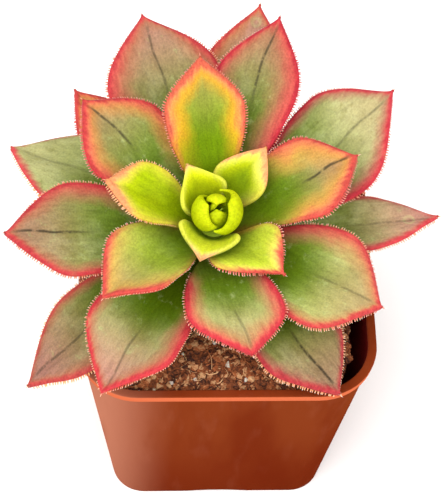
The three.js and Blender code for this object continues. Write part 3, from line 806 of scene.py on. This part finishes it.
def make_fringe(leaf, rank, colouring, seed):
    """A leaf's lashes: bent, flattened cones along both margins, and a longer hair at the tip."""
    settings = bpy.context.scene.aeonium_leaf
    dice = np.random.default_rng(seed)
    full = settings.lash_length / MM * leaf["lash"]
    marks = np.linspace(LASH_START, LASH_END, 500)
    inner = 0.85
    vertices, faces, up = [], [], []
    for margin in (-1, 1):
        lift = -relief_at(leaf, marks, margin, rank)
        line = blade_at(leaf, marks, margin, EDGE_THICKNESS / 2 + lift)
        inside = blade_at(leaf, marks, margin * inner, EDGE_THICKNESS / 2 + lift)
        run = np.concatenate([[0], np.cumsum(np.linalg.norm(np.diff(line, axis=0), axis=1))])
        spots = np.arange(0, run[-1], settings.lash_spacing / MM)
        spots = spots + dice.uniform(-0.14, 0.14, len(spots))
        tipwards = np.gradient(line, axis=0)
        for spot in spots:
            index = min(np.searchsorted(run, spot), len(marks) - 1)
            forward = Vector(tipwards[index]).normalized()
            outward = Vector(line[index] - inside[index]).normalized()
            outward = (outward - outward.dot(forward) * forward).normalized()
            length = full * dice.uniform(0.55, 1.15)
            lean = dice.uniform(0.2, 0.6)
            add_lash(vertices, faces, up, Vector(line[index]), outward, forward, length, lean)
    end = blade_at(leaf, np.array([LASH_END, 1.0]), 0, EDGE_THICKNESS / 2)
    forward = Vector(end[1] - end[0]).normalized()
    aside = forward.orthogonal().normalized()
    add_lash(vertices, faces, up, Vector(end[1]), forward, aside, TIP_HAIR * full, 0.1)
    mesh = bpy.data.meshes.new("fringe")
    mesh.from_pydata(lay_out(np.array(vertices), leaf_place(leaf, rank)).tolist(), [], faces)
    store_colouring(mesh, colouring, np.ones(len(up)), np.ones(len(up)), np.array(up))
    mesh.materials.append(bpy.data.materials["clear leaf hairs"])
    return add_object("fringe", mesh)


def add_lash(vertices, faces, up, root, outward, forward, length, lean):
    """Adds one lash: a four-sided cone, sunk into the margin and bent towards the tip."""
    aside = outward.cross(forward).normalized()
    sides = 4
    foot = 0.2 * min(length + 0.5, 1)
    # Each ring's place outwards and along the margin, in lengths, and its share of the foot's size
    rings = [(-LASH_SINK / length, 0, 1), (0.4, 0.3 * lean, 0.6)]
    first = len(vertices)
    for out, along, share in rings:
        middle = root + outward * (out * length) + forward * (along * length)
        for corner in range(sides):
            angle = corner * math.tau / sides
            across = forward * math.cos(angle) + aside * (0.6 * math.sin(angle))
            vertices.append(middle + across * (share * foot))
            up.append(out)
    vertices.append(root + outward * length + forward * (lean * length))
    up.append(1)
    second = first + sides
    apex = second + sides
    faces.append([first + 3, first + 2, first + 1, first])
    for corner in range(sides):
        following = (corner + 1) % sides
        faces.append([first + corner, first + following, second + following, second + corner])
        faces.append([second + corner, second + following, apex])


def make_leaf(name, node, leaf, rank, colouring, slot_name, materials):
    """One leaf with its fringe, in place of its CAD node."""
    blade = make_blade(name, leaf, rank, colouring, materials)
    if leaf["lash"]:
        fringe = make_fringe(leaf, rank, colouring, 100 + rank)
        take(blade)
        fringe.select_set(True)
        bpy.ops.object.join()
    settle(blade, slot_name, node)


class AEONIUM_OT_pot(bpy.types.Operator):
    """Models the moulded pot with its rolled lip, foot arches and drain holes"""

    bl_idname = "aeonium.pot"
    bl_label = "Pot"

    def execute(self, context):
        settings = context.scene.aeonium_pot
        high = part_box("pot")[1]
        height = high.z
        rim_half = high.x - settings.lip_out
        deselect()
        bpy.ops.mesh.primitive_cube_add(
            size=1, location=(0, 0, height / 2), scale=(2 * rim_half, 2 * rim_half, height)
        )
        pot = context.object
        pot.name = "nursery_pot"
        bpy.ops.object.transform_apply(location=True, rotation=True, scale=True)
        mesh = pot.data
        self.taper(mesh, height, rim_half)
        self.hollow(mesh, height, rim_half, settings)
        self.roll_lip(mesh, height, rim_half, settings)
        # Edges sharper than this are rounded
        sharp = math.radians(50)
        apply_modifier(pot, "BEVEL", width=EDGE_ROUND, segments=3, limit_method="ANGLE", angle_limit=sharp)
        self.cut_foot(pot)
        take(pot)
        bpy.ops.object.shade_smooth_by_angle(angle=math.radians(35))
        mesh.materials.append(make_material("moulded polypropylene", pot_plastic, settings))
        mesh.materials.append(make_material("stained polypropylene in painted shade", stained_plastic_in_shade, settings))
        # The inner wall up to just below the rim takes the darker inner material: painted shade, with stains
        for polygon in mesh.polygons:
            middle = polygon.center
            inward = polygon.normal.x * middle.x + polygon.normal.y * middle.y < 0
            if inward and settings.floor / 2 < middle.z < height - 0.6 * MM:
                polygon.material_index = 1
        settle(pot, "pot", "pot")
        return {"FINISHED"}

    def taper(self, mesh, height, rim_half):
        """Narrows the base, rounds the upright edges and tightens the base's corners."""
        select(mesh, "VERT", lambda v: v.co.z < height / 2)
        resize_across(BASE_HALF / rim_half, (0, 0, 0))

        def upright(edge):
            first, second = (mesh.vertices[i].co for i in edge.vertices)
            return abs(first.z - second.z) > height / 2

        select(mesh, "EDGE", upright)
        bpy.ops.mesh.bevel(offset=RIM_CORNER, segments=12, affect="EDGES")
        self.tighten(mesh, 0, BASE_HALF, BASE_CORNER / RIM_CORNER)
        bpy.ops.object.mode_set(mode="OBJECT")

    def tighten(self, mesh, level, half, share):
        """Shrinks the round corners of the ring of vertices at one level."""
        for x, y in ((-1, -1), (-1, 1), (1, -1), (1, 1)):

            def in_corner(vertex):
                place = vertex.co
                return abs(place.z - level) < 0.1 * MM and place.x * x > 0 and place.y * y > 0

            select(mesh, "VERT", in_corner)
            resize_across(share, (x * half, y * half, level))

    def hollow(self, mesh, height, rim_half, settings):
        """Sinks the inside from the top face down to the floor."""
        select(mesh, "FACE", lambda p: p.normal.z > 0.9)
        bpy.ops.mesh.inset(thickness=settings.wall, depth=0)
        bpy.ops.mesh.extrude_region_move(TRANSFORM_OT_translate={"value": (0, 0, settings.floor - height)})
        inner_half = BASE_HALF - settings.wall
        narrow = inner_half / (rim_half - settings.wall)
        resize_across(narrow, (0, 0, settings.floor))
        inner_corner = (RIM_CORNER - settings.wall) * narrow
        self.tighten(mesh, settings.floor, inner_half, (BASE_CORNER - settings.wall) / inner_corner)
        bpy.ops.object.mode_set(mode="OBJECT")

    def roll_lip(self, mesh, height, rim_half, settings):
        """Draws the outer wall's top out into the lip."""
        lip_foot = height - settings.lip_height
        bpy.ops.object.mode_set(mode="EDIT")
        cut_across(lip_foot)

        def on_lip(polygon):
            facing_out = polygon.normal.x * polygon.center.x + polygon.normal.y * polygon.center.y > 0
            return polygon.center.z > lip_foot and facing_out and abs(polygon.normal.z) < 0.5

        select(mesh, "FACE", on_lip)
        bpy.ops.mesh.extrude_region_move(TRANSFORM_OT_translate={"value": (0, 0, 0)})
        resize_across((rim_half + settings.lip_out) / rim_half, (0, 0, height))
        bpy.ops.object.mode_set(mode="OBJECT")

    def cut_foot(self, pot):
        """Cuts a shallow arch under each side and a drain hole near each corner."""
        radius = ((ARCH_WIDTH / 2) ** 2 + ARCH_HEIGHT ** 2) / (2 * ARCH_HEIGHT)
        for side in range(4):
            turn = Matrix.Rotation(side * math.pi / 2, 4, "Z")
            deselect()
            bpy.ops.mesh.primitive_cylinder_add(
                vertices=256, radius=radius, depth=10 * MM,
                location=turn @ Vector((0, -BASE_HALF, ARCH_HEIGHT - radius)),
                rotation=(math.pi / 2, 0, side * math.pi / 2),
            )
            arch = bpy.context.object
            deselect()
            bpy.ops.mesh.primitive_cylinder_add(
                vertices=32, radius=DRAIN_RADIUS, depth=8 * MM,
                location=turn @ Vector((DRAIN_OFFSET, DRAIN_OFFSET, 0)),
            )
            drain = bpy.context.object
            for cutter in (arch, drain):
                apply_modifier(pot, "BOOLEAN", operation="DIFFERENCE", object=cutter, solver="EXACT")
                bpy.data.objects.remove(cutter)


class AEONIUM_OT_soil(bpy.types.Operator):
    """Models the plug of peat with its crumbs, fibres and perlite"""

    bl_idname = "aeonium.soil"
    bl_label = "Soil"

    def execute(self, context):
        settings = context.scene.aeonium_soil
        plug = self.make_plug(context)
        # Each peat has its own shades for dark, middle and light
        # The plug is darker than the crumbs on it: painted shade in the gaps between them
        plug.data.materials.append(make_material("milled peat", peat, settings, 0.85, 1.25, 1.8))
        self.surface = BVHTree.FromObject(plug, context.evaluated_depsgraph_get())
        self.ball = self.ball_shape()
        settle(plug, "soil", "soil")
        crumb_peat = make_material("peat crumbs", peat, settings, 0.62, 1.1, 1.55)
        self.scatter("peat_crumbs", settings.crumbs, self.crumb, 21, crumb_peat)
        coir = make_material("coir fibres", peat, settings, 0.6, 1.0, 1.3)
        self.scatter("coir_fibres", settings.fibres, self.fibre, 22, coir)
        perlite = make_material("expanded perlite", perlite_glass, settings)
        self.scatter("perlite_grains", settings.grains, self.grain, 23, perlite)
        return {"FINISHED"}

    def make_plug(self, context):
        """The CAD plug's own shape, remeshed finely and roughened."""
        plug = frame["nodes"]["soil"].copy()
        plug.data = plug.data.copy()
        plug.name = "soil_plug"
        plug.parent = None
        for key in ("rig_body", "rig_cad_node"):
            del plug[key]
        context.collection.objects.link(plug)
        plug.data.materials.clear()
        take(plug)
        bpy.ops.object.mode_set(mode="EDIT")
        bpy.ops.mesh.select_all(action="SELECT")
        bpy.ops.mesh.remove_doubles(threshold=1e-6)
        bpy.ops.object.mode_set(mode="OBJECT")
        apply_modifier(plug, "REMESH", mode="VOXEL", voxel_size=0.75 * MM)
        # Clods, and crumbs on them
        for size, strength in ((2.6 * MM, 0.9 * MM), (0.9 * MM, 0.5 * MM)):
            clods = bpy.data.textures.new("clods", "CLOUDS")
            clods.noise_scale = size
            displace = {"texture": clods, "texture_coords": "LOCAL", "strength": strength, "mid_level": 0.75}
            apply_modifier(plug, "DISPLACE", **displace)
        mesh = plug.data
        store(mesh, "tone", np.zeros(len(mesh.vertices)))
        take(plug)
        bpy.ops.object.shade_smooth()
        return plug

    def scatter(self, name, count, shape, seed, material):
        """One piece of many small bodies, each laid on the plug's upper surface."""
        dice = random.Random(seed)
        low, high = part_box("soil")
        vertices, faces, tones = [], [], []
        for _ in range(count):
            spot = self.drop(dice.uniform(low.x, high.x), dice.uniform(low.y, high.y))
            body = spot and shape(dice, spot)
            if not body:
                continue
            points, polygons = body
            first = len(vertices)
            vertices.extend(points)
            faces.extend([first + i for i in polygon] for polygon in polygons)
            tones.extend([dice.uniform(-0.35, 0.45)] * len(points))
        mesh = bpy.data.meshes.new(name)
        mesh.from_pydata(vertices, [], faces)
        store(mesh, "tone", np.array(tones))
        mesh.materials.append(material)
        settle(add_object(name, mesh), "soil")

    def drop(self, x, y):
        """The plug's upper surface under a point, or None beside the plug."""
        start, reach = Vector((x, y, 80 * MM)), 40 * MM
        return self.surface.ray_cast(start, Vector((0, 0, -1)), reach)[0]

    def ball_shape(self):
        """The points and faces of a ball of radius one with twenty faces."""
        deselect()
        bpy.ops.mesh.primitive_ico_sphere_add(subdivisions=1, radius=1)
        ball = bpy.context.object
        points = [v.co.copy() for v in ball.data.vertices]
        polygons = [list(p.vertices) for p in ball.data.polygons]
        bpy.data.objects.remove(ball)
        return points, polygons

    def lump(self, dice, spot, size, rough):
        """A rough, flattened ball at a spot."""
        points, polygons = self.ball
        seed = Vector((dice.uniform(0, 99), dice.uniform(0, 99), dice.uniform(0, 99)))
        stretch = Vector((dice.uniform(0.7, 1.3), dice.uniform(0.7, 1.3), dice.uniform(0.5, 0.9)))
        turn = Matrix.Rotation(dice.uniform(0, math.tau), 3, "Z")
        turn = turn @ Matrix.Rotation(dice.uniform(-0.6, 0.6), 3, "X")
        made = []
        for point in points:
            bulge = 1 + rough * noise.noise(point * 1.6 + seed)
            made.append(spot + turn @ (point * stretch * (bulge * size / 2)))
        return made, polygons

    def crumb(self, dice, spot):
        return self.lump(dice, spot, dice.uniform(0.5, 1.6) * MM, 0.9)

    def grain(self, dice, spot):
        return self.lump(dice, spot + Vector((0, 0, 0.2 * MM)), dice.uniform(0.7, 1.7) * MM, 0.5)

    def fibre(self, dice, spot):
        """A three-sided strand that lies over the surface, or None where it would leave the plug."""
        heading = dice.uniform(0, math.tau)
        length = dice.uniform(0.8, 2.6) * MM
        curl = dice.uniform(-1.2, 1.2)
        radius = dice.uniform(0.05, 0.11) * MM
        steps, sides = 5, 3
        points = []
        x, y = spot.x, spot.y
        for k in range(steps + 1):
            angle = heading + curl * k / steps
            forward = Vector((math.cos(angle), math.sin(angle), 0))
            aside = Vector((-math.sin(angle), math.cos(angle), 0))
            below = self.drop(x, y)
            if below is None:
                return None
            lift = dice.uniform(0.15, 0.5) * MM
            for corner in range(sides):
                turn = corner * math.tau / sides
                rim = (aside * math.cos(turn) + Vector((0, 0, 1)) * math.sin(turn)) * radius
                points.append(below + Vector((0, 0, lift)) + rim)
            x += forward.x * length / steps
            y += forward.y * length / steps
        last = sides * steps
        polygons = [[0, 1, 2], [last + 2, last + 1, last]]
        for near in range(0, last, sides):
            far = near + sides
            for corner in range(sides):
                following = (corner + 1) % sides
                polygons.append([near + corner, far + corner, far + following, near + following])
        return points, polygons


class AEONIUM_OT_stem(bpy.types.Operator):
    """Models the short stem with its leaf scars"""

    bl_idname = "aeonium.stem"
    bl_label = "Stem"

    def execute(self, context):
        deselect()
        bpy.ops.mesh.primitive_cylinder_add(
            vertices=32, radius=STEM_RADIUS, depth=STEM_TOP - STEM_FOOT,
            location=(0, 0, (STEM_TOP + STEM_FOOT) / 2),
        )
        stem = context.object
        stem.name = "woody_stem"
        bpy.ops.object.transform_apply(location=True, rotation=True, scale=True)
        mesh = stem.data
        bpy.ops.object.mode_set(mode="EDIT")
        cut_step = 0.8
        for height in np.arange(STEM_FOOT + cut_step, STEM_TOP, cut_step):
            cut_across(height)
        bpy.ops.object.mode_set(mode="OBJECT")
        # A scar every 1.6 mm, a slightly uneven skin, and a foot that widens over 8 mm below the crown
        scar_angle, scar_depth, flare, flare_length = 3.9, 0.05, 0.14, 8
        for vertex in mesh.vertices:
            x, y, z = vertex.co
            ring = 1 + scar_depth * math.sin(z * scar_angle) + 0.05 * noise.noise(vertex.co * 0.7)
            foot = 1 + flare * max(0, min(1, -z / flare_length))
            vertex.co = CROWN @ Vector((x * ring * foot * MM, y * ring * foot * MM, z * MM))
        mesh.materials.append(make_material("young succulent bark", stem_bark))
        take(stem)
        bpy.ops.object.shade_smooth_by_angle(angle=math.radians(50))
        settle(stem, "stem", "stem")
        return {"FINISHED"}


class AEONIUM_OT_rosette(bpy.types.Operator):
    """Models the rosette's leaves with their fringed margins"""

    bl_idname = "aeonium.rosette"
    bl_label = "Rosette"

    def execute(self, context):
        settings = context.scene.aeonium_leaf
        materials = [
            make_material("aeonium leaf skin", leaf_flesh, settings),
            make_material("aeonium leaf underside", leaf_back, settings),
        ]
        make_material("clear leaf hairs", lash_hair, settings)
        slots = {row["node"]: row["material_slot"] for row in frame["record"]["subparts"]}
        for rank, (leaf, colouring) in enumerate(zip(ROSETTE, COLOURING)):
            node = f"rosette_leaf_{rank + 1:02d}"
            make_leaf(f"leaf_{rank + 1:02d}", node, leaf, rank, colouring, slots[node], materials)
        return {"FINISHED"}


class AEONIUM_OT_bud(bpy.types.Operator):
    """Models the young leaves that wrap round each other at the centre"""

    bl_idname = "aeonium.bud"
    bl_label = "Bud"

    def execute(self, context):
        materials = [bpy.data.materials["aeonium leaf skin"]] * 2
        for k, leaf in enumerate(BUD):
            name, node = f"young_leaf_{k + 1}", f"bud_leaf_{k + 1}"
            make_leaf(name, node, leaf, -1 - k, BUD_COLOURING, "bud_leaf", materials)
        return {"FINISHED"}


class AEONIUM_OT_stage(bpy.types.Operator):
    """Sets the camera, the pale floor and the soft studio light"""

    bl_idname = "aeonium.stage"
    bl_label = "Stage"

    def execute(self, context):
        settings = context.scene.aeonium_stage
        self.place_camera(context, settings)
        deselect()
        bpy.ops.mesh.primitive_plane_add(size=6, location=(0, 0, 0))
        floor = context.object
        floor.name = "floor"
        floor.data.materials.append(make_material("matt paper", matt_paper, settings))
        self.add_softbox("key_light", place=(-0.35, -0.3, 0.85), size=1.0, power=settings.key)
        self.add_softbox("fill_light", place=(0.6, -0.4, 0.6), size=0.6, power=settings.fill)
        world = bpy.data.worlds.new("studio")
        world.use_nodes = True
        world.node_tree.nodes.clear()
        light = add_node(world.node_tree, "Background", {"Color": (1, 1, 1, 1), "Strength": 0.7})
        add_node(world.node_tree, "OutputWorld", [light])
        context.scene.world = world
        context.scene.view_settings.view_transform = "Standard"
        return {"FINISHED"}

    def place_camera(self, context, settings):
        """Stands the camera where the pot's rim and base fall on their places in the photograph."""
        azimuth, elevation, roll = settings.azimuth, settings.elevation, settings.roll
        back = Vector((
            math.sin(azimuth) * math.cos(elevation),
            -math.cos(azimuth) * math.cos(elevation),
            math.sin(elevation),
        ))
        level = Vector((math.cos(azimuth), math.sin(azimuth), 0))
        upright = level.cross(-back)
        right = level * math.cos(roll) + upright * math.sin(roll)
        up = upright * math.cos(roll) - level * math.sin(roll)
        data = bpy.data.cameras.new("camera")
        data.sensor_width = SENSOR
        data.lens = FOCAL_PIXELS * SENSOR / IMAGE_HEIGHT
        data.shift_x = (IMAGE_WIDTH / 2 - TARGET_PIXEL[0]) / IMAGE_HEIGHT
        data.shift_y = (TARGET_PIXEL[1] - IMAGE_HEIGHT / 2) / IMAGE_HEIGHT
        camera = add_object("camera", data)
        turn = Matrix((right, up, back)).transposed().to_4x4()
        target = Vector((0, 0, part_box("pot")[1].z))
        camera.matrix_world = Matrix.Translation(target + back * settings.distance) @ turn
        context.scene.camera = camera

    def add_softbox(self, name, place, size, power):
        """A square area light that faces the rosette."""
        data = bpy.data.lights.new(name, "AREA")
        data.size = size
        data.energy = power
        lamp = add_object(name, data)
        lamp.location = place
        rosette = Vector((0, 0, 60 * MM))
        lamp.rotation_euler = (rosette - Vector(place)).to_track_quat("-Z", "Y").to_euler()


class AEONIUM_PT_parts(bpy.types.Panel):
    """Lists the pieces of the potted aeonium and their settings"""

    bl_label = "Potted Aeonium"
    bl_idname = "AEONIUM_PT_parts"
    bl_space_type = "VIEW_3D"
    bl_region_type = "UI"
    bl_category = "Aeonium"

    def draw(self, context):
        for name, group, operators in GROUPS:
            box = self.layout.box()
            for setting in group.__annotations__:
                box.prop(getattr(context.scene, name), setting)
            for operator in operators:
                box.operator(operator.bl_idname)


# The groups of settings on the scene, and the operators that use each
GROUPS = [
    ("aeonium_pot", AeoniumPotSettings, [AEONIUM_OT_pot]),
    ("aeonium_soil", AeoniumSoilSettings, [AEONIUM_OT_soil, AEONIUM_OT_stem]),
    ("aeonium_leaf", AeoniumLeafSettings, [AEONIUM_OT_rosette, AEONIUM_OT_bud]),
    ("aeonium_stage", AeoniumStageSettings, [AEONIUM_OT_stage]),
]
CLASSES = [cls for _, group, operators in GROUPS for cls in (group, *operators)] + [AEONIUM_PT_parts]


def register():
    for cls in CLASSES:
        bpy.utils.register_class(cls)
    for name, group, _ in GROUPS:
        setattr(bpy.types.Scene, name, bpy.props.PointerProperty(type=group))


def unregister():
    for name, _, _ in GROUPS:
        delattr(bpy.types.Scene, name)
    for cls in reversed(CLASSES):
        bpy.utils.unregister_class(cls)


def main():
    """Builds every piece and the stage."""
    register()
    bpy.ops.aeonium.pot()
    bpy.ops.aeonium.soil()
    bpy.ops.aeonium.stem()
    bpy.ops.aeonium.rosette()
    bpy.ops.aeonium.bud()
    bpy.ops.aeonium.stage()


if __name__ == "__main__":
    main()
